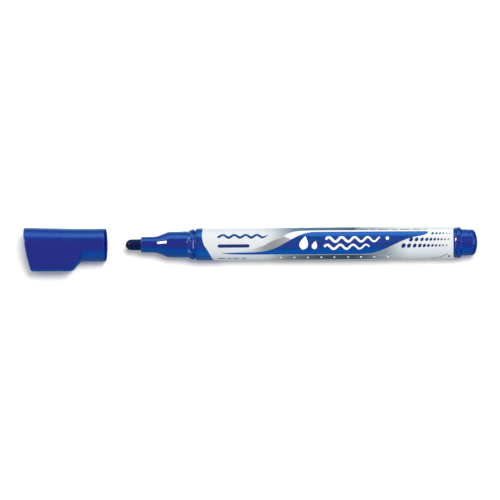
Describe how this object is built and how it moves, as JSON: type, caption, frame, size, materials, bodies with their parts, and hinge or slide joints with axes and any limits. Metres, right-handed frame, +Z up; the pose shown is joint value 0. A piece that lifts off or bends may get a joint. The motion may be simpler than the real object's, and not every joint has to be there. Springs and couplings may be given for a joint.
{
  "type": "felt tip marker",
  "caption": "Whiteboard marker with liquid ink and a bullet nib, lying on its side with its cap pulled off in line with the nib.",
  "frame": {"origin": "on the surface that the marker lies on, under the middle of its laid-out length", "axes": "+X along the pen from the nib to the end plug, +Y away from the cap's fin, +Z up"},
  "size_m": [0.1718, 0.0172, 0.0127],
  "materials": {
    "blue_plastic": "moulded, satin gloss",
    "cap_plastic": "moulded, satin gloss",
    "label_film": "printed film, satin gloss",
    "inked_felt": "bonded fibre soaked with ink",
    "wick_fibre": "bonded fibre",
    "natural_plastic": "uncoloured moulding"
  },
  "bodies": {
    "pen": {"barrel": "blue_plastic", "label_sleeve": "label_film", "nose_section": "blue_plastic", "nib": "inked_felt", "ink_collector": "natural_plastic", "feed_wick": "wick_fibre", "tank_divider": "natural_plastic", "end_plug": "blue_plastic"},
    "seal": {"cap_inner_seal": "natural_plastic"},
    "cap": {"cap_shell": "cap_plastic"}
  },
  "joints": [
    {"name": "cap_pull", "type": "slide", "parent": "pen", "child": "seal", "axis": [1, 0, 0], "range_m": [0, 0.0339]},
    {"name": "cap_turn", "type": "hinge", "parent": "seal", "child": "cap", "pos_m": [-0.07, 0.00175, 0.00625], "axis": [-1, 0, 0], "continuous": true}
  ]
}
